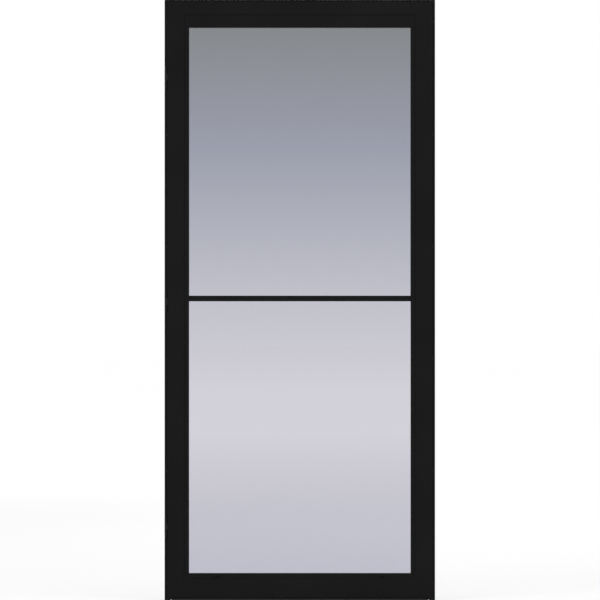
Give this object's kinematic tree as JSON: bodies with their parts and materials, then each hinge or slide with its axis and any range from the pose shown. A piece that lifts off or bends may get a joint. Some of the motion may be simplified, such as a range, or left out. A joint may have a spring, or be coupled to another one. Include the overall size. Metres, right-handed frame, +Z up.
{
  "type": "storm door",
  "caption": "Full-view aluminium storm door with a sliding pane over a fixed pane and a rolled insect screen, hinged in a Z-bar frame that screws to the trim around an entrance.",
  "frame": {"origin": "foot of the hinge-side mounting flange, midway across it, on the back face that lies on the wall", "axes": "+X from the hinge side to the latch side, +Y from outdoors to indoors, +Z up"},
  "size_m": [0.9144, 0.0481, 2.032],
  "materials": {
    "powder_coat": "black satin powder coat on extruded aluminium",
    "hinge_steel": "black satin paint on steel",
    "clear_glass": "clear toughened glass",
    "vinyl": "black flexible vinyl",
    "pile": "black woven pile",
    "screen_mesh": "charcoal insect screen",
    "black_plastic": "black moulded plastic"
  },
  "bodies": {
    "frame": {"hinge_z_bar": "powder_coat", "latch_z_bar": "powder_coat", "head_z_bar": "powder_coat", "hinge_side_pile": "pile", "latch_side_pile": "pile", "head_pile": "pile", "hinge_frame_plates": "hinge_steel", "hinge_pins": "hinge_steel"},
    "leaf": {"hinge_leaf_plates": "hinge_steel", "hinge_stile": "powder_coat", "latch_stile": "powder_coat", "top_rail": "powder_coat", "bottom_rail": "powder_coat", "bottom_expander": "powder_coat", "bottom_sweep": "vinyl", "hinge_side_retainer": "powder_coat", "latch_side_retainer": "powder_coat", "head_retainer": "powder_coat", "foot_retainer": "powder_coat", "hinge_side_track": "powder_coat", "latch_side_track": "powder_coat", "glazing_sill": "powder_coat", "screen_cassette": "powder_coat", "cassette_cover": "powder_coat", "cassette_end_plates": "black_plastic", "screen_roll": "screen_mesh", "screen_pull_bar": "powder_coat", "upper_glass": "clear_glass", "lower_glass": "clear_glass", "upper_sash_top_rail": "powder_coat", "upper_meeting_rail": "powder_coat", "lower_meeting_rail": "powder_coat", "meeting_rail_seal": "pile", "upper_glass_gaskets": "vinyl", "lower_glass_gaskets": "vinyl", "sash_latches": "black_plastic"}
  },
  "joints": [
    {"name": "leaf_swing", "type": "hinge", "parent": "frame", "child": "leaf", "pos_m": [-0.00465, -0.00695, 0], "axis": [0, 0, -1], "range_deg": [0, 110]}
  ]
}
